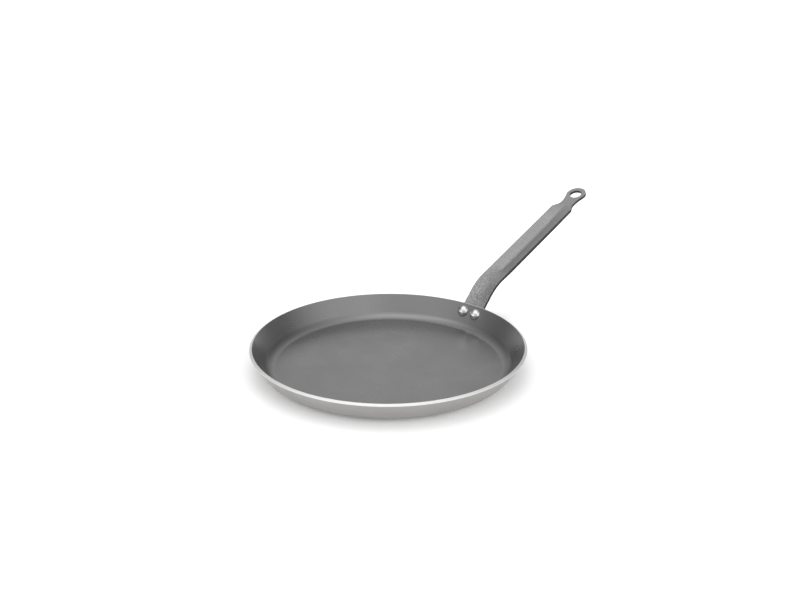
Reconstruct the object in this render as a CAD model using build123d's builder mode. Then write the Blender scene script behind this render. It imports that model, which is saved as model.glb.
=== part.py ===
from build123d import *
from math import asin, cos, degrees, radians, sin, tan
import os

# Crepe pan: a shallow pressed dish with a flared wall, a non-stick coat inside it,
# and a trough-shaped strip handle that two rivets hold against the wall.
# Millimetres. The origin is the centre of the flat base, +Z is up, +X runs along the handle.

# Dish
rim_radius = 130.0
sheet = 3.0
inside_depth = 21.7
wall_slope = 56.0  # degrees from level
base_corner_radius = 20.0
floor_corner_radius = 12.0
rim_edge_radius = 0.5

# Non-stick coat
coat_thickness = 0.1
coat_below_lip = 0.6  # bare metal left between the coat and the lip, along the wall

# Handle strip, across
strip_width = 24.5  # between the two upper edges of the trough
strip_thickness = 3.0
seat_gap = 0.05  # between the strip's tab and the wall

# Handle strip, along its upper edges
tab_reach = 17.0  # how far the tab runs down the wall below the rim
tab_corner_radius = 6.0
riser_slope = 46.0  # degrees from level
riser_length = 26.9  # from the kick at the rim to the corner of the bend
kick_radius = 10.0
bend_radius = 53.0
grip_slope = 21.0  # degrees from level

# Handle strip, trough: depth of the crease under the edges, and half width of its rounded bottom
bend_crease_depth = 1.2
bend_crease_spread = 5.9
grip_crease_depth = 3.8
grip_crease_spread = 2.5
shoulder_crease_depth = 1.9
shoulder_crease_spread = 1.6
flat_crease_depth = 0.1
flat_crease_spread = 1.2
trough_run_in = 18.0  # from the end of the bend to the full trough
trough_run_out = 36.0  # from the full trough to the shoulder
station_spacing = 6.0  # between the cross-sections that shape the trough

# Handle strip, neck and hanging eye, along the grip from the corner of the bend
eye_reach = 174.0
eye_radius = 11.0
eye_hole_radius = 6.5
eye_hole_setback = 0.8
neck_half_width = 7.8
neck_flank_angle = 19.0  # degrees between the grip and the flank that runs into the eye
shoulder_angle = 26.0  # degrees between the grip and the slanted edge of the shoulder
shoulder_round = 12.0
neck_drop = 1.4  # of the neck's flat face under the grip's edges
eye_drop = 0.8
eye_end_drop = 0.4

# Rivets
rivet_inset = 4.55  # from the strip's edge to the rivet's axis, where that meets the inner wall
rivet_below_lip = 8.9  # along the inner wall
rivet_shank_radius = 2.5
rivet_hole_clearance = 0.1
rivet_dome_radius = 6.0
rivet_dome_height = 4.6
rivet_tail_radius = 5.0
rivet_tail_height = 2.0
rivet_seat_clearance = 0.03

cut_overrun = 20.0  # how far every cutting solid reaches past what it cuts


def heading(slope):
    """Unit step, as radius and height, up a line of this slope."""
    return Vector(cos(radians(slope)), sin(radians(slope)))


# Dish profile, sharp corners as radius and height
up_wall = heading(wall_slope)
out_of_wall = heading(wall_slope - 90)
lip = Vector(rim_radius - sheet * out_of_wall.X, sheet + inside_depth)
rim_corner = lip + out_of_wall * sheet
base_corner = rim_corner - up_wall * (rim_corner.Y / up_wall.Y)
floor_corner = lip - up_wall * (inside_depth / up_wall.Y)

# Rivet axes: each is square to the wall, at one azimuth on either side of the handle
rivet_foot = lip - up_wall * rivet_below_lip
rivet_azimuth = degrees(asin((strip_width / 2 - rivet_inset) / rivet_foot.X))
rivet_hole_radius = rivet_shank_radius + rivet_hole_clearance


def rivet_plane(azimuth):
    """Plane on the inner wall at one rivet, its normal along the rivet into the dish."""
    across = Vector(-sin(radians(azimuth)), cos(radians(azimuth)), 0)
    inward = Vector(
        -out_of_wall.X * cos(radians(azimuth)),
        -out_of_wall.X * sin(radians(azimuth)),
        -out_of_wall.Y,
    )
    spot = Vector(
        rivet_foot.X * cos(radians(azimuth)),
        rivet_foot.X * sin(radians(azimuth)),
        rivet_foot.Y,
    )
    return Plane(origin=spot, x_dir=across, z_dir=inward)


rivet_planes = [rivet_plane(rivet_azimuth), rivet_plane(-rivet_azimuth)]

# Each rivet hole is one straight cut, from well inside the dish to well outside it
hole_starts = [plane.offset(cut_overrun) for plane in rivet_planes]
hole_depth = cut_overrun + sheet + cut_overrun

# Dish
with BuildPart() as pan_body:
    with BuildSketch(Plane.XZ):
        with BuildLine():
            FilletPolyline(
                (0, 0),
                base_corner,
                rim_corner,
                lip,
                floor_corner,
                (0, sheet),
                radius=[
                    base_corner_radius,
                    rim_edge_radius,
                    rim_edge_radius,
                    floor_corner_radius,
                ],
            )
            Line((0, sheet), (0, 0))
        make_face()
    revolve(axis=Axis.Z)
    with BuildSketch(*hole_starts):
        Circle(rivet_hole_radius)
    extrude(amount=-hole_depth, mode=Mode.SUBTRACT)

# Non-stick coat: a skin over the floor, the corner and the wall
coat_end = lip - up_wall * coat_below_lip
coat_end_inside = coat_end - out_of_wall * coat_thickness
coat_top = sheet + coat_thickness
coat_floor_corner = coat_end_inside - up_wall * ((coat_end_inside.Y - coat_top) / up_wall.Y)
with BuildPart() as nonstick_coating:
    with BuildSketch(Plane.XZ):
        with BuildLine():
            FilletPolyline(
                (0, sheet),
                floor_corner,
                coat_end,
                coat_end_inside,
                coat_floor_corner,
                (0, coat_top),
                radius=[floor_corner_radius, 0, 0, floor_corner_radius - coat_thickness],
            )
            Line((0, coat_top), (0, sheet))
        make_face()
    revolve(axis=Axis.Z)
    with BuildSketch(*hole_starts):
        Circle(rivet_hole_radius)
    extrude(amount=-hole_depth, mode=Mode.SUBTRACT)

# Handle: the path of the strip's upper edges, from the tab's lower end to past the eye.
# The tab follows the cone of the wall, so its edges lie nearer to the dish than its middle.
wall_curve_radius = (rim_radius - tab_reach / 2 * up_wall.X) / out_of_wall.X
tab_hollow = wall_curve_radius - (wall_curve_radius**2 - (strip_width / 2) ** 2) ** 0.5
rim_kick = rim_corner - out_of_wall * (tab_hollow - seat_gap)
tab_end = rim_kick - up_wall * tab_reach
bend_corner = rim_kick + heading(riser_slope) * riser_length
grip_length = eye_reach + eye_radius + strip_thickness
grip_end = bend_corner + heading(grip_slope) * grip_length
with BuildLine() as strip_path:
    FilletPolyline(tab_end, rim_kick, bend_corner, grip_end, radius=[kick_radius, bend_radius])
path = strip_path.wire()

# Distances along that path
kick_turn = radians(wall_slope - riser_slope)
bend_turn = radians(riser_slope - grip_slope)
kick_start = tab_reach - kick_radius * tan(kick_turn / 2)
kick_end = kick_start + kick_radius * kick_turn
bend_setback = bend_radius * tan(bend_turn / 2)
bend_start = kick_end + riser_length - kick_radius * tan(kick_turn / 2) - bend_setback
bend_end = bend_start + bend_radius * bend_turn
bend_corner_distance = bend_end - bend_setback
grip_end_distance = bend_corner_distance + grip_length

# Outline of the neck and the eye, as distance from the bend's corner and half width
flank_rise = sin(radians(neck_flank_angle))
flank_run = cos(radians(neck_flank_angle))
shoulder_rise = sin(radians(shoulder_angle))
shoulder_run = cos(radians(shoulder_angle))
flare_radius = (eye_radius * flank_run - neck_half_width) / (1 - flank_run)
neck_reach = eye_reach - (eye_radius + flare_radius) * flank_rise
shoulder_foot = Vector(
    neck_reach - shoulder_round * shoulder_rise,
    neck_half_width + shoulder_round * (1 - shoulder_run),
)
shoulder_slant = (strip_width - shoulder_foot.Y) / shoulder_rise
shoulder_far = shoulder_foot + Vector(-shoulder_run, shoulder_rise) * shoulder_slant
shoulder_reach = shoulder_foot.X - (strip_width / 2 - shoulder_foot.Y) * shoulder_run / shoulder_rise


def trough_section(distance, crease_depth, crease_spread, drop):
    """Cross-section of the strip at a distance along its path: an open trough with a round bottom."""
    spot = path.position_at(distance, position_mode=PositionMode.LENGTH)
    ahead = path.tangent_at(distance, position_mode=PositionMode.LENGTH)
    square_to_path = Plane(
        origin=(spot.X, 0, spot.Y),
        x_dir=(0, 1, 0),
        z_dir=(ahead.X, 0, ahead.Y),
    )
    edge = Vector(strip_width / 2, -drop)
    crease = Vector(0, -crease_depth - drop)
    facet = (edge - crease).normalized()
    crease_radius = crease_spread * facet.X / facet.Y
    lower_edge = edge + Vector(facet.Y, -facet.X) * strip_thickness
    lower_crease = crease - Vector(0, strip_thickness / facet.X)
    with BuildSketch(square_to_path) as section:
        with BuildLine():
            FilletPolyline((-edge.X, edge.Y), crease, edge, radius=crease_radius)
            Line(edge, lower_edge)
            FilletPolyline(
                lower_edge,
                lower_crease,
                (-lower_edge.X, lower_edge.Y),
                radius=crease_radius + strip_thickness,
            )
            Line((-lower_edge.X, lower_edge.Y), (-edge.X, edge.Y))
        make_face()
    return section.sketch.faces()[0]


# Along the tab the trough is the cone's own hollow, an arc over nearly the whole width
tab_arc_share = 0.94
tab_crease_spread = tab_arc_share * strip_width / 2
tab_crease_depth = tab_crease_spread * strip_width / 2 / wall_curve_radius
tab_section = trough_section(0, tab_crease_depth, tab_crease_spread, 0)
kick_section = trough_section(kick_start, tab_crease_depth, tab_crease_spread, 0)
kick_centre = tab_end + up_wall * kick_start + out_of_wall * kick_radius

# From the rim outwards its depth, the spread of its bottom and its drop ease from key to key
shoulder_distance = bend_corner_distance + shoulder_reach
trough_keys = [
    (kick_end, tab_crease_depth, tab_crease_spread, 0),
    (bend_start, bend_crease_depth, bend_crease_spread, 0),
    (bend_end, bend_crease_depth, bend_crease_spread, 0),
    (bend_end + trough_run_in, grip_crease_depth, grip_crease_spread, 0),
    (shoulder_distance - trough_run_out, grip_crease_depth, grip_crease_spread, 0),
    (shoulder_distance, shoulder_crease_depth, shoulder_crease_spread, 0),
    (bend_corner_distance + neck_reach, flat_crease_depth, flat_crease_spread, neck_drop),
    (bend_corner_distance + eye_reach, flat_crease_depth, flat_crease_spread, eye_drop),
    (grip_end_distance, flat_crease_depth, flat_crease_spread, eye_end_drop),
]


def eased_sections(start, end):
    """Cross-sections from one key to the next, the last one left to the next pair of keys."""
    steps = max(1, round((end[0] - start[0]) / station_spacing))
    sections = []
    for step in range(steps):
        along = step / steps
        ease = along * along * (3 - 2 * along)
        depth, spread, drop = (a + (b - a) * ease for a, b in zip(start[1:], end[1:]))
        distance = start[0] + (end[0] - start[0]) * along
        sections.append(trough_section(distance, depth, spread, drop))
    return sections


trough_sections = []
for start, end in zip(trough_keys, trough_keys[1:]):
    trough_sections += eased_sections(start, end)
trough_sections.append(trough_section(*trough_keys[-1]))

# The blank's outline, laid in the plane of the grip's edges
grip_plane = Plane(
    origin=(bend_corner.X, 0, bend_corner.Y),
    x_dir=(cos(radians(grip_slope)), 0, sin(radians(grip_slope))),
    z_dir=(-sin(radians(grip_slope)), 0, cos(radians(grip_slope))),
)
with BuildSketch(grip_plane) as blank_outline:
    with BuildLine():
        past_tab = Line((-eye_reach, 0), (-eye_reach, strip_width))
        wide = Line(past_tab @ 1, shoulder_far)
        slant = Line(wide @ 1, shoulder_foot)
        JernArc(slant @ 1, slant % 1, shoulder_round, shoulder_angle)
        JernArc((neck_reach, neck_half_width), (1, 0), flare_radius, neck_flank_angle)
        RadiusArc(
            (eye_reach - eye_radius * flank_rise, eye_radius * flank_run),
            (eye_reach + eye_radius, 0),
            eye_radius,
        )
        mirror(about=Plane.XZ)
    make_face()

# Handle: tab, kick and the formed trough, cut to the outline and pierced
with BuildPart() as handle:
    extrude(to_extrude=tab_section, amount=kick_start)
    tab_end_face = handle.faces().filter_by(GeomType.PLANE).sort_by(Axis.Z)[0]
    tab_corners = tab_end_face.edges().sort_by(Axis.Y)
    fillet([tab_corners[0], tab_corners[-1]], radius=tab_corner_radius)
    revolve(
        profiles=kick_section,
        axis=Axis((kick_centre.X, 0, kick_centre.Y), (0, 1, 0)),
        revolution_arc=wall_slope - riser_slope,
    )
    loft(sections=trough_sections)
    extrude(to_extrude=blank_outline.sketch, amount=eye_reach, both=True, mode=Mode.INTERSECT)
    with BuildSketch(grip_plane):
        with Locations((eye_reach - eye_hole_setback, 0)):
            Circle(eye_hole_radius)
    extrude(amount=cut_overrun, both=True, mode=Mode.SUBTRACT)
    with BuildSketch(*rivet_planes):
        Circle(rivet_hole_radius)
    extrude(amount=-cut_overrun, mode=Mode.SUBTRACT)

# Rivets: a dome on the coat inside the dish, a shank through coat, wall and tab, a formed tail
wall_radius_at_rivet = rivet_foot.X / out_of_wall.X
hollow_under_dome = wall_radius_at_rivet - (wall_radius_at_rivet**2 - rivet_dome_radius**2) ** 0.5
dome_seat = coat_thickness + hollow_under_dome + rivet_seat_clearance
tail_seat = -sheet - seat_gap - strip_thickness - rivet_seat_clearance
dome_top = dome_seat + rivet_dome_height
tail_end = tail_seat - rivet_tail_height


def cap_radius(base_radius, height):
    """Radius of the sphere whose cap has this base and height."""
    return (base_radius**2 + height**2) / (2 * height)


def make_rivet(plane):
    """One rivet, turned about its axis on this plane of the inner wall."""
    dome_sphere = cap_radius(rivet_dome_radius, rivet_dome_height)
    tail_sphere = cap_radius(rivet_tail_radius, rivet_tail_height)
    dome_arc = degrees(asin(rivet_dome_radius / dome_sphere))
    tail_arc = degrees(asin(rivet_tail_radius / tail_sphere))
    with BuildPart() as rivet:
        with BuildSketch(Plane(origin=plane.origin, x_dir=plane.x_dir, z_dir=-plane.y_dir)):
            with BuildLine():
                Line((0, tail_end), (0, dome_top))
                JernArc((0, dome_top), (1, 0), dome_sphere, -dome_arc)
                Polyline(
                    (rivet_dome_radius, dome_seat),
                    (rivet_shank_radius, dome_seat),
                    (rivet_shank_radius, tail_seat),
                    (rivet_tail_radius, tail_seat),
                )
                JernArc((0, tail_end), (1, 0), tail_sphere, tail_arc)
            make_face()
        revolve(axis=Axis(plane.origin, plane.z_dir))
    return rivet


rivet_left = make_rivet(rivet_planes[0])
rivet_right = make_rivet(rivet_planes[1])

pan_body.part.label = "pan_body"
nonstick_coating.part.label = "nonstick_coating"
handle.part.label = "handle"
rivet_left.part.label = "rivet_left"
rivet_right.part.label = "rivet_right"

os.makedirs("parts", exist_ok=True)
export_step(pan_body.part, "parts/pan_body.step")
export_step(nonstick_coating.part, "parts/nonstick_coating.step")
export_step(handle.part, "parts/handle.step")
export_step(rivet_left.part, "parts/rivet_left.step")
export_step(rivet_right.part, "parts/rivet_right.step")

# Centre of the hanging hole, in the middle of the strip's thickness
eye_plate_depth = eye_drop + flat_crease_depth / 2 + strip_thickness / 2
eye_hole_centre = grip_plane.from_local_coords((eye_reach - eye_hole_setback, 0, -eye_plate_depth))
print("hanging hole", eye_hole_centre, "axis", grip_plane.z_dir)
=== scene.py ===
import logging
import math
from dataclasses import dataclass, field
from enum import Enum

import bmesh
import bpy
from mathutils import Matrix, Vector, noise


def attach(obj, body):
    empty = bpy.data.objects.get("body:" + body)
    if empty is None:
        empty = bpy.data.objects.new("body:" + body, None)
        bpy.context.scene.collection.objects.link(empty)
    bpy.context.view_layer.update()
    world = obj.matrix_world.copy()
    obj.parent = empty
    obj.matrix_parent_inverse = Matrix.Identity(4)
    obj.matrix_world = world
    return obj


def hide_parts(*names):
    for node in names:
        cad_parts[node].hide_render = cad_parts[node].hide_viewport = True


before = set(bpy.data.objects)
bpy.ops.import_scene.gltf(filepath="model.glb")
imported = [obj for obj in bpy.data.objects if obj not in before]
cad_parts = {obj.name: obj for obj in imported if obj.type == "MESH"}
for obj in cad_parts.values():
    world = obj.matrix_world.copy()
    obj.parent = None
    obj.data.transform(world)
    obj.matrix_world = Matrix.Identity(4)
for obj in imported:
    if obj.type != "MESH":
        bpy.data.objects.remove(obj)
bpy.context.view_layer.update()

# Crepe pan: a pressed aluminium dish with a dark non-stick coat, two rivets with domed heads,
# and a trough-shaped strip handle under hammered paint. Metres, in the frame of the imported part.

MM = 0.001
SHARP_ANGLE = math.radians(35)
HEAD_EDGE_ANGLE = math.radians(40)
STRIP_EDGE_ANGLE = math.radians(50)
ON_AXIS = 0.001 * MM
MERGE_DISTANCE = 0.002 * MM
SAME_ROW = 0.01 * MM
SHEARED_AND_SHADED = "sheared_and_shaded"
COARSE_PER_FINE = 0.23
SLOW_PER_CUT = 0.13
GRAIN_SPAN = (0.38, 0.62)
CLOUD_SPAN = (0.3, 0.7)
NODE_SPACING = 220
Socket = bpy.types.NodeSocket
log = logging.getLogger("crepe_pan")


class Slot(Enum):
    """Names of the material slots."""

    DISH = "dish_aluminium"
    COAT = "nonstick_coat"
    HANDLE = "handle_paint"
    RIVET = "rivet_aluminium"


class Effect(Enum):
    """Surface effects that more than one finish is made with."""

    GRAIN = "fine_grain"
    RINGS = "lathe_rings"
    MOTTLE = "soft_mottle"


# Node trees


class Sheet:
    """A node tree being drawn up, with short calls that add nodes and wire them."""

    def __init__(self, tree: bpy.types.NodeTree) -> None:
        """Starts on an empty tree.

        Args:
            tree: The node tree of a material, a world or a group.
        """
        self.tree = tree
        self.tree.nodes.clear()

    def add(self, kind: str, sockets: dict | None = None, **settings: object) -> bpy.types.Node:
        """Adds one node.

        Args:
            kind: The shader node's type, such as Math.
            sockets: What goes into its inputs, by name or number: a constant, or an output to wire in.
            **settings: The node's own properties.

        Returns:
            The new node.
        """
        node = self.tree.nodes.new("ShaderNode" + kind)
        node.location = (NODE_SPACING * len(self.tree.nodes), 0)
        for name, value in settings.items():
            setattr(node, name, value)
        for name, value in (sockets or {}).items():
            if isinstance(value, Socket):
                self.tree.links.new(value, node.inputs[name])
            else:
                node.inputs[name].default_value = value
        return node

    def math(self, operation: str, *values: object) -> Socket:
        """Adds a Math node.

        Args:
            operation: The operation's name, such as MULTIPLY.
            *values: Its operands, constants or outputs.

        Returns:
            The node's output.
        """
        return self.add("Math", dict(enumerate(values)), operation=operation).outputs[0]

    def remap(self, value: object, low: float, high: float, start: object = 0.0,
              end: object = 1.0) -> Socket:
        """Adds a smooth step from one range to another.

        Args:
            value: The output to read.
            low: Where the step begins.
            high: Where the step ends.
            start: What it puts out up to its beginning.
            end: What it puts out past its end.

        Returns:
            The node's output.
        """
        sockets = {"Value": value, "From Min": low, "From Max": high, "To Min": start, "To Max": end}
        return self.add("MapRange", sockets, interpolation_type="SMOOTHSTEP").outputs[0]

    def mix(self, factor: object, first: object, second: object) -> Socket:
        """Adds a colour mix.

        Args:
            factor: The share of the second colour.
            first: The first colour.
            second: The second colour.

        Returns:
            The node's output.
        """
        node = self.add("Mix", data_type="RGBA")
        # A Mix node keeps its two colours after the sockets for numbers and vectors.
        for place, value in ((0, factor), (6, first), (7, second)):
            if isinstance(value, Socket):
                self.tree.links.new(value, node.inputs[place])
            else:
                node.inputs[place].default_value = value
        return node.outputs[2]

    def place(self) -> Socket:
        """The point on the surface, in metres from the frame's origin."""
        return self.add("TexCoord").outputs["Object"]

    def from_axis(self, x: Socket, y: Socket) -> Socket:
        """The distance from the upright axis."""
        return self.math("SQRT", self.math("MULTIPLY_ADD", x, x, self.math("MULTIPLY", y, y)))

    def surface(self, tone: object, metallic: object, rough: object, height: object, depth: float) -> None:
        """Ends a material with its shader.

        Args:
            tone: Its colour.
            metallic: Its share of bare metal or flake.
            rough: Its roughness.
            height: Its relief, from 0 to 1.
            depth: The relief's full depth.
        """
        bump = self.add("Bump", {"Height": height, "Distance": depth})
        shader = self.add("BsdfPrincipled", {"Base Color": tone, "Metallic": metallic,
                                                       "Roughness": rough, "Normal": bump.outputs[0]})
        self.add("OutputMaterial", {"Surface": shader.outputs[0]})

    def effect(self, which: Effect, **sockets: object) -> bpy.types.Node:
        """Places a shared effect with this finish's own values.

        Args:
            which: The effect.
            **sockets: Its inputs, with underscores for spaces.

        Returns:
            The group node.
        """
        node = self.add("Group", node_tree=EFFECTS[which])
        for name, value in sockets.items():
            node.inputs[name.replace("_", " ")].default_value = value
        return node


def new_material(name: str) -> tuple[bpy.types.Material, Sheet]:
    """Starts a material.

    Args:
        name: Its name.

    Returns:
        The material and the sheet to draw on.
    """
    made = bpy.data.materials.new(name)
    made.use_nodes = True
    return made, Sheet(made.node_tree)


def new_group(name: str, inputs: dict[str, float], outputs: list[str]) -> tuple[Sheet, dict, bpy.types.Node]:
    """Starts a shader node group whose inputs and outputs are all numbers.

    Args:
        name: The group's name.
        inputs: Its inputs and their defaults.
        outputs: Its outputs.

    Returns:
        The sheet to draw on, the inputs' sockets by name, and the node that takes the outputs.
    """
    tree = bpy.data.node_groups.new(name, "ShaderNodeTree")
    for socket_name, value in inputs.items():
        socket = tree.interface.new_socket(socket_name, in_out="INPUT", socket_type="NodeSocketFloat")
        socket.default_value = value
    for socket_name in outputs:
        tree.interface.new_socket(socket_name, in_out="OUTPUT", socket_type="NodeSocketFloat")
    sheet = Sheet(tree)
    start = tree.nodes.new("NodeGroupInput")
    end = tree.nodes.new("NodeGroupOutput")
    return sheet, {name: start.outputs[name] for name in inputs}, end


def grain_group() -> bpy.types.NodeTree:
    """Fine two-scale grain: its height, and the same as a mask.

    Returns:
        The node group.
    """
    sheet, given, end = new_group("fine_grain", {"Size": MM, "Coarse share": 0.3}, ["Height", "Mask"])
    place = sheet.place()
    fine_scale = sheet.math("DIVIDE", 1.0, given["Size"])
    coarse_scale = sheet.math("MULTIPLY", fine_scale, COARSE_PER_FINE)
    fine = sheet.add("TexNoise", {"Vector": place, "Scale": fine_scale, "Detail": 2.0})
    coarse = sheet.add("TexNoise", {"Vector": place, "Scale": coarse_scale, "Detail": 1.0})
    fine_share = sheet.math("SUBTRACT", 1.0, given["Coarse share"])
    fine_part = sheet.math("MULTIPLY", fine.outputs[0], fine_share)
    height = sheet.math("MULTIPLY_ADD", coarse.outputs[0], given["Coarse share"], fine_part)
    sheet.tree.links.new(height, end.inputs["Height"])
    sheet.tree.links.new(sheet.remap(height, *GRAIN_SPAN), end.inputs["Mask"])
    return sheet.tree


def rings_group() -> bpy.types.NodeTree:
    """Turning marks round the upright axis: their height, and how strongly each is cut.

    Returns:
        The node group.
    """
    sheet, given, end = new_group("lathe_rings", {"Pitch": 0.5 * MM, "Slope": 1.0}, ["Height", "Mask"])
    x, y, z = sheet.add("SeparateXYZ", {0: sheet.place()}).outputs
    across = sheet.math("MULTIPLY_ADD", z, given["Slope"], sheet.from_axis(x, y))
    turns = sheet.math("DIVIDE", across, given["Pitch"])
    cut = sheet.add("TexNoise", {"W": turns, "Scale": 1.0, "Detail": 3.0, "Roughness": 0.7},
                    noise_dimensions="1D").outputs[0]
    depth = sheet.add("TexNoise", {"W": turns, "Scale": SLOW_PER_CUT, "Detail": 1.0},
                      noise_dimensions="1D").outputs[0]
    sheet.tree.links.new(cut, end.inputs["Height"])
    sheet.tree.links.new(sheet.remap(depth, *CLOUD_SPAN), end.inputs["Mask"])
    return sheet.tree


def mottle_group() -> bpy.types.NodeTree:
    """Soft broad variation, as handling and washing leave it.

    Returns:
        The node group.
    """
    sheet, given, end = new_group("soft_mottle", {"Size": 30 * MM}, ["Mask"])
    place = sheet.place()
    scale = sheet.math("DIVIDE", 1.0, given["Size"])
    cloud = sheet.add("TexNoise",
                      {"Vector": place, "Scale": scale, "Detail": 4.0, "Roughness": 0.6})
    sheet.tree.links.new(sheet.remap(cloud.outputs[0], *CLOUD_SPAN), end.inputs["Mask"])
    return sheet.tree


EFFECTS: dict[Effect, bpy.types.NodeTree] = {
    Effect.GRAIN: grain_group(),
    Effect.RINGS: rings_group(),
    Effect.MOTTLE: mottle_group(),
}


def grey(level: float, warmth: float = 0.0) -> tuple[float, float, float, float]:
    """A grey, as a linear colour.

    Args:
        level: Its lightness, linear.
        warmth: How much more red and less blue it holds, as a share.

    Returns:
        Red, green, blue and alpha.
    """
    return (level * (1 + warmth), level, level * (1 - warmth), 1.0)


# Finishes


@dataclass(frozen=True)
class CoatFinish:
    """Dark grey satin cooking coat, with fine metal flake in it."""

    level: float = 0.2
    flake_share: float = 0.75
    smoothness_low: float = 0.265
    smoothness_high: float = 0.335
    grain_size: float = 0.5 * MM
    grain_height: float = 0.002 * MM
    grain_contrast: float = 0.02
    coarse_share: float = 0.25
    mottle_size: float = 45 * MM
    mottle_share: float = 0.5
    mottle_level: float = 0.97
    mottle_warmth: float = 0.01

    def material(self) -> bpy.types.Material:
        """Makes the material.

        Returns:
            The material.
        """
        made, sheet = new_material("nonstick_coat")
        grain = sheet.effect(Effect.GRAIN, Size=self.grain_size, Coarse_share=self.coarse_share)
        mottle = sheet.effect(Effect.MOTTLE, Size=self.mottle_size)
        tone = sheet.mix(grain.outputs["Mask"], grey(self.level * (1 - self.grain_contrast)),
                         grey(self.level * (1 + self.grain_contrast)))
        tone = sheet.mix(sheet.math("MULTIPLY", mottle.outputs["Mask"], self.mottle_share), tone,
                         grey(self.level * self.mottle_level, self.mottle_warmth))
        rough = sheet.remap(mottle.outputs["Mask"], 0.0, 1.0, self.smoothness_low, self.smoothness_high)
        sheet.surface(tone, self.flake_share, rough, grain.outputs["Height"], self.grain_height)
        return made


@dataclass(frozen=True)
class SpunAluminiumFinish:
    """Satin aluminium with turning marks, lighter on the rim's turned band: its clean turned metal plus a
    painted highlight.
    """

    level: float = 0.435
    rim_highlight_level: float = 0.76
    warmth: float = 0.02
    roughness: float = 0.36
    rim_roughness: float = 0.6
    rim_fade: float = 0.25 * MM
    rim_warmth_share: float = 0.3
    ring_pitch: float = 0.45 * MM
    ring_height: float = 0.012 * MM
    ring_relief: float = 0.8
    ring_share: float = 0.35
    ring_level: float = 0.92
    grain_size: float = 0.35 * MM
    grain_relief: float = 0.3
    coarse_share: float = 0.4
    mottle_size: float = 30 * MM
    mottle_dark: float = 0.97
    mottle_light: float = 1.02
    roughness_swing: float = 0.03

    def material(self, wall_slope: float, rim_across: float) -> bpy.types.Material:
        """Makes the material.

        Args:
            wall_slope: The wall's slope from level, in radians.
            rim_across: Where the rim's turned band begins, measured up the wall: radius times the
                slope's cosine plus height times its sine.

        Returns:
            The material.
        """
        made, sheet = new_material("spun_aluminium")
        x, y, z = sheet.add("SeparateXYZ", {0: sheet.place()}).outputs
        up_wall = sheet.math("MULTIPLY_ADD", sheet.from_axis(x, y), math.cos(wall_slope),
                             sheet.math("MULTIPLY", z, math.sin(wall_slope)))
        on_rim = sheet.remap(up_wall, rim_across, rim_across + self.rim_fade)
        rings = sheet.effect(Effect.RINGS, Pitch=self.ring_pitch, Slope=math.tan(wall_slope))
        grain = sheet.effect(Effect.GRAIN, Size=self.grain_size, Coarse_share=self.coarse_share)
        mottle = sheet.effect(Effect.MOTTLE, Size=self.mottle_size)
        satin = sheet.mix(mottle.outputs["Mask"], grey(self.level * self.mottle_dark, self.warmth),
                          grey(self.level * self.mottle_light, self.warmth))
        satin = sheet.mix(sheet.math("MULTIPLY", rings.outputs["Mask"], self.ring_share), satin,
                          grey(self.level * self.ring_level, self.warmth))
        # The rim band's lighter tone is the turned metal plus a painted highlight.
        tone = sheet.mix(on_rim, satin, grey(self.rim_highlight_level, self.warmth * self.rim_warmth_share))
        rough = sheet.remap(grain.outputs["Mask"], 0.0, 1.0, self.roughness - self.roughness_swing,
                            self.roughness + self.roughness_swing)
        rough = sheet.remap(on_rim, 0.0, 1.0, rough, self.rim_roughness)
        height = sheet.math("MULTIPLY_ADD", rings.outputs["Height"], self.ring_relief,
                            sheet.math("MULTIPLY", grain.outputs["Height"], self.grain_relief))
        sheet.surface(tone, 1.0, rough, height, self.ring_height)
        return made


@dataclass(frozen=True)
class HammeredPaintFinish:
    """Grey hammered paint with metal flake; its cut sides are rougher and without flake, and painted near
    black as painted shade.

    Its dimpled figure is strong on the riser, its own tone swing raised there with painted reflection
    speckle, and fades from there along the grip.
    """

    level: float = 0.272
    flake_share: float = 0.8
    roughness: float = 0.36
    # How dark the cut sides are painted: painted shade.
    side_shade_level: float = 0.018
    cut_roughness: float = 0.7
    dimple_size: float = 1.3 * MM
    dimple_height: float = 0.24 * MM
    figure: float = 0.78
    figure_on_grip: float = 0.24
    mid_tone: float = 0.5
    speckle_full_to: float = 146 * MM
    speckle_faded_from: float = 200 * MM
    coarse_share: float = 0.08
    mottle_size: float = 20 * MM
    mottle_share: float = 0.4
    mottle_tint: tuple[float, float, float] = (0.99, 0.98, 1.03)
    rougher: float = 0.05
    smoother: float = 0.04

    def material(self) -> bpy.types.Material:
        """Makes the material.

        Returns:
            The material.
        """
        made, sheet = new_material("hammered_paint")
        grain = sheet.effect(Effect.GRAIN, Size=self.dimple_size, Coarse_share=self.coarse_share)
        mottle = sheet.effect(Effect.MOTTLE, Size=self.mottle_size)
        along = sheet.add("SeparateXYZ", {0: sheet.place()})
        # The dimples' tone swing is strongest on the riser: the paint's own figure plus painted reflection
        # speckle.
        figure = sheet.remap(along.outputs[0], self.speckle_full_to, self.speckle_faded_from, self.figure,
                             self.figure_on_grip)
        swing = sheet.math("MULTIPLY", sheet.math("SUBTRACT", grain.outputs["Mask"], self.mid_tone), figure)
        level = sheet.math("MULTIPLY_ADD", swing, self.level, self.level)
        paint = sheet.add("CombineColor", {0: level, 1: level, 2: level}).outputs[0]
        tone = sheet.mix(sheet.math("MULTIPLY", mottle.outputs["Mask"], self.mottle_share), paint,
                         (*(self.level * tint for tint in self.mottle_tint), 1.0))
        # The cut sides and hole walls are rougher and without flake, and painted near black: painted shade.
        cut = sheet.add("Attribute", attribute_name=SHEARED_AND_SHADED).outputs["Fac"]
        tone = sheet.mix(cut, tone, grey(self.side_shade_level))
        rough = sheet.remap(grain.outputs["Mask"], 0.0, 1.0, self.roughness + self.rougher,
                            self.roughness - self.smoother)
        rough = sheet.remap(cut, 0.0, 1.0, rough, self.cut_roughness)
        flake = sheet.remap(cut, 0.0, 1.0, self.flake_share, 0.0)
        sheet.surface(tone, flake, rough, grain.outputs["Height"], self.dimple_height)
        return made


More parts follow.
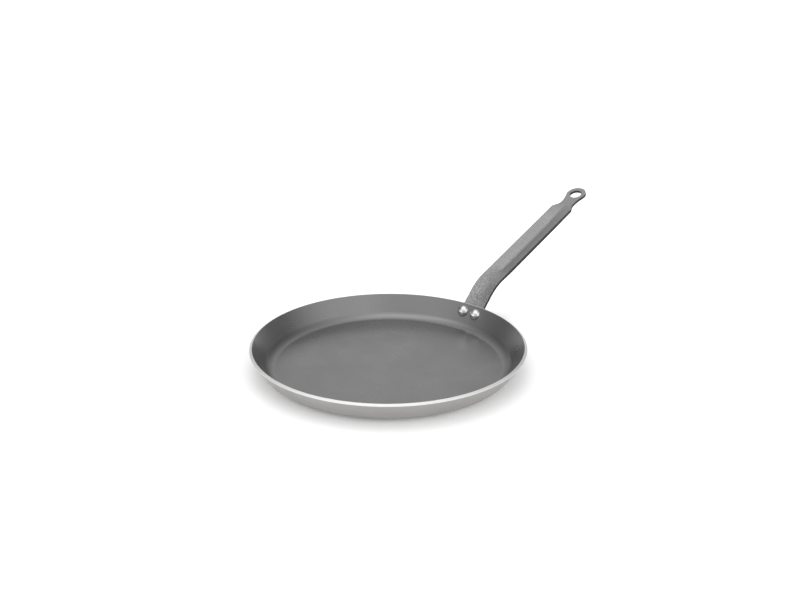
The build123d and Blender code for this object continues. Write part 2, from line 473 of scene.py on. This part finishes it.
@dataclass(frozen=True)
class PolishedAluminiumFinish:
    """Tumbled bright rivet metal with faint dents."""

    level: float = 0.66
    roughness: float = 0.24
    dent_size: float = 1.2 * MM
    dent_height: float = 0.015 * MM
    coarse_share: float = 0.5
    dent_level: float = 0.95
    warmth: float = 0.005
    smoother: float = 0.04
    rougher: float = 0.06

    def material(self) -> bpy.types.Material:
        """Makes the material.

        Returns:
            The material.
        """
        made, sheet = new_material("rivet_aluminium")
        grain = sheet.effect(Effect.GRAIN, Size=self.dent_size, Coarse_share=self.coarse_share)
        tone = sheet.mix(grain.outputs["Mask"], grey(self.level * self.dent_level, self.warmth),
                         grey(self.level, self.warmth))
        rough = sheet.remap(grain.outputs["Mask"], 0.0, 1.0, self.roughness - self.smoother,
                            self.roughness + self.rougher)
        sheet.surface(tone, 1.0, rough, grain.outputs["Height"], self.dent_height)
        return made


# Pieces


def dress(piece: bpy.types.Object, material: bpy.types.Material) -> None:
    """Gives a piece one material.

    Args:
        piece: The piece.
        material: Its material.
    """
    piece.data.materials.clear()
    piece.data.materials.append(material)
    log.info("%s is dressed in %s", piece.name, material.name)


def place_mesh(mesh: bmesh.types.BMesh, name: str) -> bpy.types.Object:
    """Turns a worked mesh into an object of the scene.

    Args:
        mesh: The mesh, in place. It is freed.
        name: The object's name.

    Returns:
        The object.
    """
    data = bpy.data.meshes.new(name)
    mesh.to_mesh(data)
    mesh.free()
    made = bpy.data.objects.new(name, data)
    bpy.context.scene.collection.objects.link(made)
    return made


def finish_mesh(mesh: bmesh.types.BMesh, name: str, node: str) -> bpy.types.Object:
    """Turns a worked mesh into a piece that rides on the pan and stands for a node.

    Args:
        mesh: The mesh, in place. It is freed.
        name: The piece's name.
        node: The node that it stands for.

    Returns:
        The piece.
    """
    bmesh.ops.recalc_face_normals(mesh, faces=mesh.faces)
    for face in mesh.faces:
        face.smooth = True
    for edge in mesh.edges:
        edge.smooth = edge.calc_face_angle(0) < SHARP_ANGLE
    piece = place_mesh(mesh, name)
    even = piece.modifiers.new("flat faces keep their shading", "WEIGHTED_NORMAL")
    even.keep_sharp = True
    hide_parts(node)
    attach(piece, "root")
    log.info("%s has %d faces", name, len(piece.data.polygons))
    return piece


def spin_closed(mesh: bmesh.types.BMesh, steps: int) -> None:
    """Turns a mesh's line about the upright axis and joins what meets.

    Args:
        mesh: The mesh, holding a line in the plane of radius and height.
        steps: Steps in the full turn.
    """
    bmesh.ops.spin(mesh, geom=mesh.verts[:] + mesh.edges[:], cent=(0, 0, 0), axis=(0, 0, 1),
                   angle=math.tau, steps=steps, use_merge=True)
    bmesh.ops.remove_doubles(mesh, verts=mesh.verts, dist=MERGE_DISTANCE)


def slope_step(degrees_up: float) -> Vector:
    """Unit step, as radius and height, up a line of this slope."""
    return Vector((math.cos(math.radians(degrees_up)), math.sin(math.radians(degrees_up))))


@dataclass(frozen=True)
class Wall:
    """The dish's flared wall, which the coat, the rivets and the handle's tab all follow."""

    rim_radius: float = 130.0 * MM
    sheet: float = 3.0 * MM
    inside_depth: float = 21.7 * MM
    slope: float = 56.0

    @property
    def up(self) -> Vector:
        """Unit step up the wall, as radius and height."""
        return slope_step(self.slope)

    @property
    def out(self) -> Vector:
        """Unit step square out of the wall, as radius and height."""
        return slope_step(self.slope - 90)

    @property
    def lip(self) -> Vector:
        """The inner wall's upper end, before its edge is rounded."""
        return Vector((self.rim_radius - self.sheet * self.out.x, self.sheet + self.inside_depth))

    @property
    def rim_corner(self) -> Vector:
        """The outer wall's upper end, before its edge is rounded."""
        return self.lip + self.out * self.sheet

    def down_to(self, start: Vector, height: float) -> Vector:
        """Follows the wall down.

        Args:
            start: Where to start, as radius and height.
            height: The height to stop at.

        Returns:
            The point there, as radius and height.
        """
        return start - self.up * ((start.y - height) / self.up.y)


def turned_solid(outline: list[tuple[Vector, float]], steps: int, corner_steps: int,
                 spacing: float) -> bmesh.types.BMesh:
    """Turns a section about the upright axis into a closed solid.

    Args:
        outline: The section's corners as radius and height, each with the radius of its rounding.
            The first and last lie on the axis.
        steps: Steps in the full turn.
        corner_steps: Steps in each rounding.
        spacing: The longest edge left along the section.

    Returns:
        The solid.
    """
    mesh = bmesh.new()
    corners = [mesh.verts.new((place.x, 0, place.y)) for place, _ in outline]
    mesh.faces.new(corners)
    for (before, _), (here, radius), (after, _), vert in zip(outline, outline[1:], outline[2:], corners[1:]):
        if not radius:
            continue
        turn = (here - before).angle(after - here)
        bmesh.ops.bevel(mesh, geom=[vert], offset=radius * math.tan(turn / 2), offset_type="OFFSET",
                        segments=corner_steps, profile=0.5, affect="VERTICES", clamp_overlap=False,
                        material=-1)
    bmesh.ops.delete(mesh, geom=mesh.faces[:], context="FACES_ONLY")
    on_axis = [edge for edge in mesh.edges if all(vert.co.x < ON_AXIS for vert in edge.verts)]
    bmesh.ops.delete(mesh, geom=on_axis, context="EDGES")
    for edge in mesh.edges[:]:
        cuts = math.ceil(edge.calc_length() / spacing) - 1
        if cuts > 0:
            bmesh.ops.subdivide_edges(mesh, edges=[edge], cuts=cuts)
    spin_closed(mesh, steps)
    return mesh


@dataclass
class Dish:
    """The pressed dish and its cooking coat."""

    wall: Wall = field(default_factory=Wall)
    base_corner: float = 20.0 * MM
    floor_corner: float = 12.0 * MM
    rim_edge: float = 0.5 * MM
    coat: float = 0.1 * MM
    coat_below_lip: float = 0.6 * MM
    turned_band: float = 0.38 * MM
    steps: int = 288
    corner_steps: int = 12
    spacing: float = 6.0 * MM
    coat_finish: CoatFinish = field(default_factory=CoatFinish)
    metal_finish: SpunAluminiumFinish = field(default_factory=SpunAluminiumFinish)

    def build_body(self) -> bpy.types.Object:
        """Presses the dish.

        Returns:
            The dish.
        """
        wall = self.wall
        outline = [
            (Vector((0, 0)), 0),
            (wall.down_to(wall.rim_corner, 0), self.base_corner),
            (wall.rim_corner, self.rim_edge),
            (wall.lip, self.rim_edge),
            (wall.down_to(wall.lip, wall.sheet), self.floor_corner),
            (Vector((0, wall.sheet)), 0),
        ]
        mesh = turned_solid(outline, self.steps, self.corner_steps, self.spacing)
        return finish_mesh(mesh, "pressed_dish", "pan_body")

    def build_coat(self) -> bpy.types.Object:
        """Lays the coat on the inside.

        Returns:
            The coat.
        """
        wall = self.wall
        under = wall.lip - wall.up * self.coat_below_lip
        over = under - wall.out * self.coat
        outline = [
            (Vector((0, wall.sheet)), 0),
            (wall.down_to(under, wall.sheet), self.floor_corner),
            (under, 0),
            (over, 0),
            (wall.down_to(over, wall.sheet + self.coat), self.floor_corner - self.coat),
            (Vector((0, wall.sheet + self.coat)), 0),
        ]
        mesh = turned_solid(outline, self.steps, self.corner_steps, self.spacing)
        return finish_mesh(mesh, "cooking_coat", "nonstick_coating")

    def build(self) -> list[bpy.types.Object]:
        """Builds and dresses the dish and the coat.

        Returns:
            The two pieces.
        """
        slope = math.radians(self.wall.slope)
        corner = self.wall.rim_corner
        rim_across = corner.x * math.cos(slope) + corner.y * math.sin(slope) - self.turned_band
        body = self.build_body()
        coat = self.build_coat()
        dress(body, self.metal_finish.material(slope, rim_across))
        dress(coat, self.coat_finish.material())
        return [body, coat]


@dataclass
class RivetPair:
    """The two rivets that hold the handle."""

    wall: Wall = field(default_factory=Wall)
    below_lip: float = 8.9 * MM
    side: float = 7.7 * MM
    shank_radius: float = 2.5 * MM
    dome_radius: float = 6.0 * MM
    dome_height: float = 4.6 * MM
    tail_radius: float = 5.0 * MM
    tail_height: float = 2.0 * MM
    coat: float = 0.1 * MM
    strip: float = 3.05 * MM
    seat_clearance: float = 0.03 * MM
    edge_round: float = 0.15 * MM
    edge_steps: int = 3
    arc_steps: int = 14
    blow_size: float = 3.4 * MM
    blow_depth: float = 0.05 * MM
    blow_middle: float = 0.5
    seed: float = 7.3
    steps: int = 64
    finish: PolishedAluminiumFinish = field(default_factory=PolishedAluminiumFinish)

    def axis(self, side: int) -> Matrix:
        """Where a rivet stands.

        Args:
            side: 1 for the left rivet and -1 for the right.

        Returns:
            The turn and place that set an upright rivet on the inner wall, its dome inwards.
        """
        foot = self.wall.lip - self.wall.up * self.below_lip
        azimuth = side * math.asin(self.side / foot.x)
        inward = Vector((-self.wall.out.x * math.cos(azimuth), -self.wall.out.x * math.sin(azimuth),
                         -self.wall.out.y))
        spot = Vector((foot.x * math.cos(azimuth), foot.x * math.sin(azimuth), foot.y))
        return Matrix.Translation(spot) @ Vector((0, 0, 1)).rotation_difference(inward).to_matrix().to_4x4()

    def dome_outline(self, radius: float, height: float) -> list[Vector]:
        """A head's arc, from its edge to the axis.

        Args:
            radius: The head's radius.
            height: Its height.

        Returns:
            The arc's points, as radius and height above the head's seat.
        """
        sphere = (radius**2 + height**2) / (2 * height)
        half = math.asin(radius / sphere)
        angles = [half * (1 - i / self.arc_steps) for i in range(self.arc_steps + 1)]
        return [Vector((sphere * math.sin(a), sphere * math.cos(a) - sphere + height)) for a in angles]

    def build(self) -> list[bpy.types.Object]:
        """Turns and places both rivets.

        Returns:
            The two rivets.
        """
        foot = self.wall.lip - self.wall.up * self.below_lip
        cone = foot.x / self.wall.out.x
        hollow = cone - math.sqrt(cone**2 - self.dome_radius**2)
        dome_seat = self.coat + hollow + self.seat_clearance
        tail_seat = -self.wall.sheet - self.strip - self.seat_clearance
        polish = self.finish.material()
        made = []
        for name, side in (("rivet_left", 1), ("rivet_right", -1)):
            mesh = bmesh.new()
            tail = self.dome_outline(self.tail_radius, self.tail_height)
            dome = self.dome_outline(self.dome_radius, self.dome_height)
            line = [Vector((point.x, tail_seat - point.y)) for point in reversed(tail)]
            line += [Vector((self.shank_radius, tail_seat)), Vector((self.shank_radius, dome_seat))]
            line += [Vector((point.x, dome_seat + point.y)) for point in dome]
            tips = [mesh.verts.new((point.x, 0, point.y)) for point in line]
            for first, second in zip(tips, tips[1:]):
                mesh.edges.new((first, second))
            spin_closed(mesh, self.steps)
            bmesh.ops.recalc_face_normals(mesh, faces=mesh.faces)
            sharp = [edge for edge in mesh.edges if edge.calc_face_angle(0) > HEAD_EDGE_ANGLE]
            bmesh.ops.bevel(mesh, geom=sharp, offset=self.edge_round, segments=self.edge_steps,
                            profile=0.5, affect="EDGES", clamp_overlap=True, material=-1)
            mesh.normal_update()
            for vert in mesh.verts:
                if vert.co.z > dome_seat + self.edge_round:
                    cell = vert.co / self.blow_size + Vector((0, 0, side * self.seed))
                    vert.co -= vert.normal * self.blow_depth * (self.blow_middle + noise.noise(cell))
            bmesh.ops.transform(mesh, matrix=self.axis(side), verts=mesh.verts)
            piece = finish_mesh(mesh, name + "_turned", name)
            dress(piece, polish)
            made.append(piece)
        return made


@dataclass
class Stretch:
    """One stretch of the handle strip's path."""

    length: float
    slope: float
    turn: float = 0.0

    def step(self, along: float) -> tuple[Vector, float]:
        """Follows the stretch.

        Args:
            along: The distance from its beginning.

        Returns:
            The step from its beginning as radius and height, and the slope there.
        """
        if not self.turn:
            return Vector((math.cos(self.slope), math.sin(self.slope))) * along, self.slope
        bend = self.length / self.turn
        slope = self.slope + along / bend
        run = bend * (math.sin(slope) - math.sin(self.slope))
        rise = bend * (math.cos(self.slope) - math.cos(slope))
        return Vector((run, rise)), slope


@dataclass
class StripHandle:
    """The handle: one pressed strip with a tab, a riser, a bend, a trough, a neck and an eye.

    Each trough is its crease's depth under the edges and half the crease's spread.
    """

    wall: Wall = field(default_factory=Wall)
    width: float = 24.5 * MM
    thickness: float = 3.0 * MM
    seat_gap: float = 0.05 * MM
    tab_reach: float = 17.0 * MM
    tab_spread_share: float = 0.94
    bend_trough: tuple[float, float] = (1.2 * MM, 5.9 * MM)
    grip_trough: tuple[float, float] = (3.8 * MM, 2.5 * MM)
    shoulder_trough: tuple[float, float] = (1.9 * MM, 1.6 * MM)
    flat_trough: tuple[float, float] = (0.1 * MM, 1.2 * MM)
    trough_in: float = 18.0 * MM
    trough_out: float = 36.0 * MM
    neck_drop: float = 1.4 * MM
    eye_drop: float = 0.8 * MM
    tip_drop: float = 0.4 * MM
    tab_corner: float = 6.0 * MM
    riser_slope: float = 46.0
    riser_length: float = 26.9 * MM
    kick_radius: float = 10.0 * MM
    bend_radius: float = 53.0 * MM
    grip_slope: float = 21.0
    eye_reach: float = 174.0 * MM
    eye_radius: float = 10.84 * MM
    hole_radius: float = 6.5 * MM
    hole_setback: float = 0.8 * MM
    neck_half: float = 7.8 * MM
    flank_angle: float = 19.0
    shoulder_angle: float = 26.0
    shoulder_round: float = 12.0 * MM
    rivet_inset: float = 4.55 * MM
    rivet_below_rim: float = 8.9 * MM
    rivet_hole: float = 2.6 * MM
    edge_round: float = 0.3 * MM
    edge_steps: int = 3
    burr_round: float = 0.12 * MM
    burr_steps: int = 2
    across: int = 36
    row_spacing: float = 1.6 * MM
    fewest_rows: int = 2
    corner_steps: int = 8
    eye_rings: int = 8
    flank_steps: int = 6
    arc_steps: int = 60
    patch_share: float = 1.32
    finish: HammeredPaintFinish = field(default_factory=HammeredPaintFinish)

    def __post_init__(self) -> None:
        """Works out the path, the trough's keys and the outline from the sizes."""
        wall = self.wall
        cone = (wall.rim_radius - self.tab_reach / 2 * wall.up.x) / wall.out.x
        hollow = cone - math.sqrt(cone**2 - (self.width / 2) ** 2)
        kick = wall.rim_corner - wall.out * (hollow - self.seat_gap)
        self.tab_end = kick - wall.up * self.tab_reach
        kick_turn = math.radians(self.riser_slope - wall.slope)
        bend_turn = math.radians(self.grip_slope - self.riser_slope)
        kick_cut = self.kick_radius * math.tan(-kick_turn / 2)
        self.bend_cut = self.bend_radius * math.tan(-bend_turn / 2)
        grip = self.eye_reach + self.eye_radius + self.thickness - self.bend_cut
        self.path = [
            Stretch(self.tab_reach - kick_cut, math.radians(wall.slope)),
            Stretch(-self.kick_radius * kick_turn, math.radians(wall.slope), kick_turn),
            Stretch(self.riser_length - kick_cut - self.bend_cut, math.radians(self.riser_slope)),
            Stretch(-self.bend_radius * bend_turn, math.radians(self.riser_slope), bend_turn),
            Stretch(grip, math.radians(self.grip_slope)),
        ]
        ends = [0.0]
        for stretch in self.path:
            ends.append(ends[-1] + stretch.length)
        self.ends = ends
        self.corner_distance = ends[4] - self.bend_cut
        self.outline_sizes()
        tab_spread = self.tab_spread_share * self.width / 2
        tab_depth = tab_spread * self.width / 2 / cone
        shoulder = self.corner_distance + self.shoulder_reach
        self.keys = [
            (ends[2], tab_depth, tab_spread, 0.0),
            (ends[3], *self.bend_trough, 0.0),
            (ends[4], *self.bend_trough, 0.0),
            (ends[4] + self.trough_in, *self.grip_trough, 0.0),
            (shoulder - self.trough_out, *self.grip_trough, 0.0),
            (shoulder, *self.shoulder_trough, 0.0),
            (self.corner_distance + self.neck_reach, *self.flat_trough, self.neck_drop),
            (self.corner_distance + self.eye_reach, *self.flat_trough, self.eye_drop),
            (self.ends[-1], *self.flat_trough, self.tip_drop),
        ]

    def outline_sizes(self) -> None:
        """Works out the outline's places, as distances from the bend's corner and half widths."""
        rise = math.sin(math.radians(self.flank_angle))
        run = math.cos(math.radians(self.flank_angle))
        self.flare_radius = (self.eye_radius * run - self.neck_half) / (1 - run)
        self.neck_reach = self.eye_reach - (self.eye_radius + self.flare_radius) * rise
        self.flare_reach = self.eye_reach - self.eye_radius * rise
        shoulder = math.radians(self.shoulder_angle)
        self.foot_reach = self.neck_reach - self.shoulder_round * math.sin(shoulder)
        self.foot_half = self.neck_half + self.shoulder_round * (1 - math.cos(shoulder))
        self.shoulder_reach = self.foot_reach - (self.width / 2 - self.foot_half) / math.tan(shoulder)
        self.patch_reach = self.eye_reach - self.hole_setback - self.hole_radius * self.patch_share

    def half_width(self, distance: float) -> float:
        """The outline's half width.

        Args:
            distance: The distance along the path from the tab's lower end.

        Returns:
            The half width there.
        """
        reach = distance - self.corner_distance
        full = self.width / 2
        if distance < self.tab_corner:
            return full - self.tab_corner + math.sqrt(self.tab_corner**2 - (self.tab_corner - distance) ** 2)
        if reach <= self.shoulder_reach:
            return full
        if reach <= self.foot_reach:
            return self.foot_half + (self.foot_reach - reach) * math.tan(math.radians(self.shoulder_angle))
        if reach <= self.neck_reach:
            run = self.neck_reach - reach
            return self.neck_half + self.shoulder_round - math.sqrt(self.shoulder_round**2 - run**2)
        if reach <= self.flare_reach:
            run = reach - self.neck_reach
            return self.neck_half + self.flare_radius - math.sqrt(self.flare_radius**2 - run**2)
        return math.sqrt(max(self.eye_radius**2 - (reach - self.eye_reach) ** 2, 0.0))

    def trough(self, distance: float) -> tuple[float, float, float]:
        """The trough's form.

        Args:
            distance: The distance along the path.

        Returns:
            The crease's depth under the edges, its half spread, and the drop of the edges.
        """
        if distance <= self.keys[0][0]:
            return self.keys[0][1:]
        for start, end in zip(self.keys, self.keys[1:]):
            if distance <= end[0]:
                along = (distance - start[0]) / (end[0] - start[0])
                ease = along * along * (3 - 2 * along)
                return tuple(a + (b - a) * ease for a, b in zip(start[1:], end[1:]))
        return self.keys[-1][1:]

    def pressed(self, distance: float, sideways: float) -> Vector:
        """Where a point of the flat blank's upper face lies on the pressed strip.

        Args:
            distance: The distance along the path.
            sideways: The distance from the middle line.

        Returns:
            The point.
        """
        place = self.tab_end.copy()
        slope = self.path[0].slope
        for stretch, start in zip(self.path, self.ends):
            if distance <= start and start > 0:
                break
            step, slope = stretch.step(min(distance - start, stretch.length))
            place += step
        depth, spread, drop = self.trough(distance)
        facet = Vector((self.width / 2, depth)).normalized()
        if abs(sideways) >= spread * facet.x:
            height = -drop - depth + abs(sideways) * facet.y / facet.x
        else:
            bottom = spread * facet.x / facet.y
            height = -drop - depth + bottom / facet.x - math.sqrt(bottom**2 - sideways**2)
        place += Vector((-math.sin(slope), math.cos(slope))) * height
        return Vector((place.x, sideways, place.y))

    def rows(self) -> list[float]:
        """Distances of the blank's rows, closer at the tab's corners and about the shoulder.

        Returns:
            The distances, rising.
        """
        step = math.pi / 2 / self.corner_steps
        found = [self.tab_corner * (1 - math.cos(step * i)) for i in range(self.corner_steps)]
        stops = [self.tab_corner, *self.ends[1:5]]
        stops += [self.corner_distance + reach for reach in
                  (self.shoulder_reach, self.foot_reach, self.neck_reach, self.patch_reach)]
        for start, end in zip(stops, stops[1:]):
            steps = max(self.fewest_rows, math.ceil((end - start) / self.row_spacing))
            found += [start + (end - start) * i / steps for i in range(steps)]
        return found + [stops[-1]]

    def pierce(self, blank: bmesh.types.BMesh, centre: Vector, radius: float) -> None:
        """Cuts a round hole in the flat blank.

        Args:
            blank: The blank.
            centre: The hole's centre.
            radius: The hole's radius.
        """
        reach = radius + self.row_spacing / 2
        inside = {edge for edge in blank.edges if not edge.is_boundary}
        gone = [face for face in blank.faces
                if min((vert.co - centre).length for vert in face.verts) < reach]
        bmesh.ops.delete(blank, geom=gone, context="FACES")
        ring = [edge for edge in inside if edge.is_valid and edge.is_boundary]
        grown = bmesh.ops.extrude_edge_only(blank, edges=ring)["geom"]
        for vert in grown:
            if isinstance(vert, bmesh.types.BMVert):
                vert.co = centre + (vert.co - centre).normalized() * radius

    def eye_patch(self, blank: bmesh.types.BMesh) -> None:
        """Grows the round eye, with its hole, from the blank's last row.

        Args:
            blank: The blank, flat, with distance as x and the way across as y.
        """
        last = self.corner_distance + self.patch_reach
        row = sorted((vert for vert in blank.verts if abs(vert.co.x - last) < SAME_ROW),
                     key=lambda vert: vert.co.y)
        centre = Vector((self.corner_distance + self.eye_reach, 0, 0))
        hole = centre - Vector((self.hole_setback, 0, 0))
        around = []
        for i in range(1, self.flank_steps):
            x = last + (self.corner_distance + self.flare_reach - last) * i / self.flank_steps
            around.append(Vector((x, self.half_width(x), 0)))
        half_arc = math.pi / 2 + math.radians(self.flank_angle)
        for i in range(self.arc_steps + 1):
            turn = half_arc * (1 - 2 * i / self.arc_steps)
            around.append(centre + Vector((math.cos(turn), math.sin(turn), 0)) * self.eye_radius)
        around += [Vector((place.x, -place.y, 0)) for place in reversed(around[: self.flank_steps - 1])]
        tip = row[-1]
        edges = []
        for place in around:
            made = blank.verts.new(place)
            edges.append(blank.edges.new((tip, made)))
            tip = made
        edges.append(blank.edges.new((tip, row[0])))
        edges += [edge for edge in blank.edges
                  if all(abs(vert.co.x - last) < SAME_ROW for vert in edge.verts) and edge not in edges]
        loop = edges
        for ring in range(1, self.eye_rings + 1):
            grown = bmesh.ops.extrude_edge_only(blank, edges=loop)["geom"]
            loop = [part for part in grown if isinstance(part, bmesh.types.BMEdge) and part.is_boundary]
            for vert in (part for part in grown if isinstance(part, bmesh.types.BMVert)):
                arm = vert.co - hole
                length = arm.length
                rest = self.eye_rings - ring + 1
                vert.co = hole + arm.normalized() * (length + (self.hole_radius - length) / rest)

    def build(self) -> bpy.types.Object:
        """Cuts the blank, presses it, thickens it and rounds its edges.

        Returns:
            The handle.
        """
        rows = self.rows()
        blank = bmesh.new()
        half = 0.5
        bmesh.ops.create_grid(blank, x_segments=len(rows) - 1, y_segments=self.across, size=half)
        for vert in blank.verts:
            distance = rows[round((vert.co.x + half) * (len(rows) - 1))]
            vert.co = Vector((distance, vert.co.y / half * self.half_width(distance), 0))
        self.eye_patch(blank)
        rivet_side = self.width / 2 - self.rivet_inset
        for side in (-1, 1):
            centre = Vector((self.tab_reach - self.rivet_below_rim, side * rivet_side, 0))
            self.pierce(blank, centre, self.rivet_hole)
        for vert in blank.verts:
            vert.co = self.pressed(vert.co.x, vert.co.y)
        bmesh.ops.recalc_face_normals(blank, faces=blank.faces)
        up = sum(face.normal.z for face in blank.faces)
        upper = set(blank.verts)
        bmesh.ops.solidify(blank, geom=blank.faces[:], thickness=math.copysign(self.thickness, up))
        bmesh.ops.recalc_face_normals(blank, faces=blank.faces)
        # Marks the cut sides, whose near-black tone is painted shade.
        sheared_and_shaded = blank.faces.layers.float.new(SHEARED_AND_SHADED)
        for face in blank.faces:
            of_upper = sum(vert in upper for vert in face.verts)
            face[sheared_and_shaded] = float(0 < of_upper < len(face.verts))
        sharp = [edge for edge in blank.edges if edge.calc_face_angle(0) > STRIP_EDGE_ANGLE]
        rolled = [edge for edge in sharp if all(vert in upper for vert in edge.verts)]
        burred = [edge for edge in sharp if not any(vert in upper for vert in edge.verts)]
        bmesh.ops.bevel(blank, geom=burred, offset=self.burr_round, segments=self.burr_steps,
                        profile=0.5, affect="EDGES", clamp_overlap=True, material=-1)
        rounded = bmesh.ops.bevel(blank, geom=rolled, offset=self.edge_round, segments=self.edge_steps,
                                  profile=0.5, affect="EDGES", clamp_overlap=True, material=-1)
        for face in rounded["faces"]:
            face[sheared_and_shaded] = 0.0
        piece = finish_mesh(blank, "strip_handle", "handle")
        dress(piece, self.finish.material())
        return piece


# Studio


@dataclass(frozen=True)
class SoftPanel:
    """One wide soft source of the studio's light, brightest at its middle and without an edge."""

    turn: float
    height: float
    tightness: float
    strength: float

    def way(self, to_eye: Vector, to_right: Vector) -> Vector:
        """Where the panel hangs.

        Args:
            to_eye: The level direction from the pan to the camera.
            to_right: The level direction to the camera's right.

        Returns:
            The direction from the pan to the panel's middle: turned this many degrees from the
            camera's side towards its right, and this many degrees up.
        """
        turn = math.radians(self.turn)
        height = math.radians(self.height)
        level = to_eye * math.cos(turn) + to_right * math.sin(turn)
        return Vector((level.x * math.cos(height), level.y * math.cos(height), math.sin(height)))


@dataclass
class Studio:
    """Table, light and camera."""

    table_size: float = 24.0
    table_level: float = 0.96
    table_lift: float = 0.13
    far_shadow_glow: float = 0.4
    clear_near: float = 0.15
    clear_far: float = 0.21
    eye_place: tuple[float, float, float] = (-0.66977, -0.61373, 0.42103)
    aim: tuple[float, float, float] = (0.02341, 0.00632, 0.05850)
    focal_pixels: float = 1054.0
    picture_width: float = 800.0
    sensor_width: float = 36.0
    sweep_end: float = 15.0
    sweep_start: float = 4.0
    panels: tuple[SoftPanel, ...] = (
        SoftPanel(0, 90, 24, 1.53),
        SoftPanel(0, 63, 16, 0.81),
        SoftPanel(90, 63, 16, 0.66),
        SoftPanel(180, 63, 16, 1.19),
        SoftPanel(270, 63, 16, 1.56),
        SoftPanel(30, 44, 12, 0.90),
        SoftPanel(210, 35, 9, 0.15),
        SoftPanel(330, 44, 12, 0.68),
        SoftPanel(180, 20, 14, 0.93),
        SoftPanel(60, 8, 6, 2.09),
        SoftPanel(300, 8, 6, 1.48),
    )

    def table(self) -> None:
        """Lays the white table, which glows for the camera and for reflections: painted light that lightens
        its shadows, more strongly away from the pan so that the far shadow clears.
        """
        mesh = bmesh.new()
        bmesh.ops.create_grid(mesh, x_segments=1, y_segments=1, size=self.table_size / 2)
        table = place_mesh(mesh, "table")
        made, sheet = new_material("table_white")
        ray = sheet.add("LightPath")
        seen = sheet.math("MAXIMUM", ray.outputs["Is Camera Ray"], ray.outputs["Is Glossy Ray"])
        place = sheet.place()
        away = sheet.add("VectorMath", {0: place}, operation="LENGTH").outputs["Value"]
        # Painted light: the table's glow lifts its shadows, and rises away from the pan to clear the far
        # shadow.
        glow = sheet.remap(away, self.clear_near, self.clear_far, self.table_lift, self.far_shadow_glow)
        glow = sheet.math("MULTIPLY", glow, seen)
        white = sheet.add("BsdfDiffuse", {"Color": grey(self.table_level)})
        lift = sheet.add("Emission", {"Strength": glow})
        shader = sheet.add("AddShader", {0: white.outputs[0], 1: lift.outputs[0]})
        sheet.add("OutputMaterial", {"Surface": shader.outputs[0]})
        table.data.materials.append(made)

    def light(self) -> None:
        """Hangs the soft panels, with a white sweep behind for the camera and for reflections."""
        world = bpy.data.worlds.new("studio")
        bpy.context.scene.world = world
        world.use_nodes = True
        sheet = Sheet(world.node_tree)
        way = sheet.add("TexCoord").outputs["Generated"]
        ahead = (Vector(self.aim) - Vector(self.eye_place)).xy.normalized()
        ray = sheet.add("LightPath")
        height = sheet.add("SeparateXYZ", {0: way}).outputs[2]
        sweep = sheet.remap(height, math.sin(math.radians(self.sweep_start)),
                            math.sin(math.radians(self.sweep_end)), 1.0, 0.0)
        level = sheet.math("MULTIPLY", sweep, ray.outputs["Is Glossy Ray"])
        for panel in self.panels:
            middle = panel.way(-ahead, Vector((ahead.y, -ahead.x)))
            near = sheet.add("VectorMath", {0: way, 1: middle}, operation="DOT_PRODUCT")
            fall = sheet.math("MULTIPLY_ADD", near.outputs["Value"], panel.tightness, -panel.tightness)
            level = sheet.math("MULTIPLY_ADD", sheet.math("EXPONENT", fall), panel.strength, level)
        seen = sheet.math("MAXIMUM", ray.outputs["Is Camera Ray"], ray.outputs["Is Transmission Ray"])
        plain = grey(1.0)
        dome = sheet.add("Background", {"Color": plain, "Strength": level})
        white = sheet.add("Background", {"Color": plain, "Strength": 1.0})
        both = sheet.add("MixShader", {0: seen, 1: dome.outputs[0], 2: white.outputs[0]})
        sheet.add("OutputWorld", {"Surface": both.outputs[0]})

    def camera(self) -> None:
        """Sets the camera where the photograph was taken from."""
        data = bpy.data.cameras.new("camera")
        data.sensor_fit = "HORIZONTAL"
        data.sensor_width = self.sensor_width
        data.lens = self.focal_pixels / self.picture_width * self.sensor_width
        camera = bpy.data.objects.new("camera", data)
        bpy.context.scene.collection.objects.link(camera)
        camera.location = self.eye_place
        ahead = Vector(self.aim) - Vector(self.eye_place)
        camera.rotation_euler = ahead.to_track_quat("-Z", "Y").to_euler()
        bpy.context.scene.camera = camera

    def build(self) -> None:
        """Sets up table, light and camera."""
        self.table()
        self.light()
        self.camera()
        bpy.context.scene.view_settings.view_transform = "Standard"


def main() -> None:
    """Builds and dresses the crepe pan and sets it in the studio."""
    logging.basicConfig(level=logging.INFO, format="%(message)s")
    Dish().build()
    RivetPair().build()
    StripHandle().build()
    Studio().build()


if __name__ == "__main__":
    main()
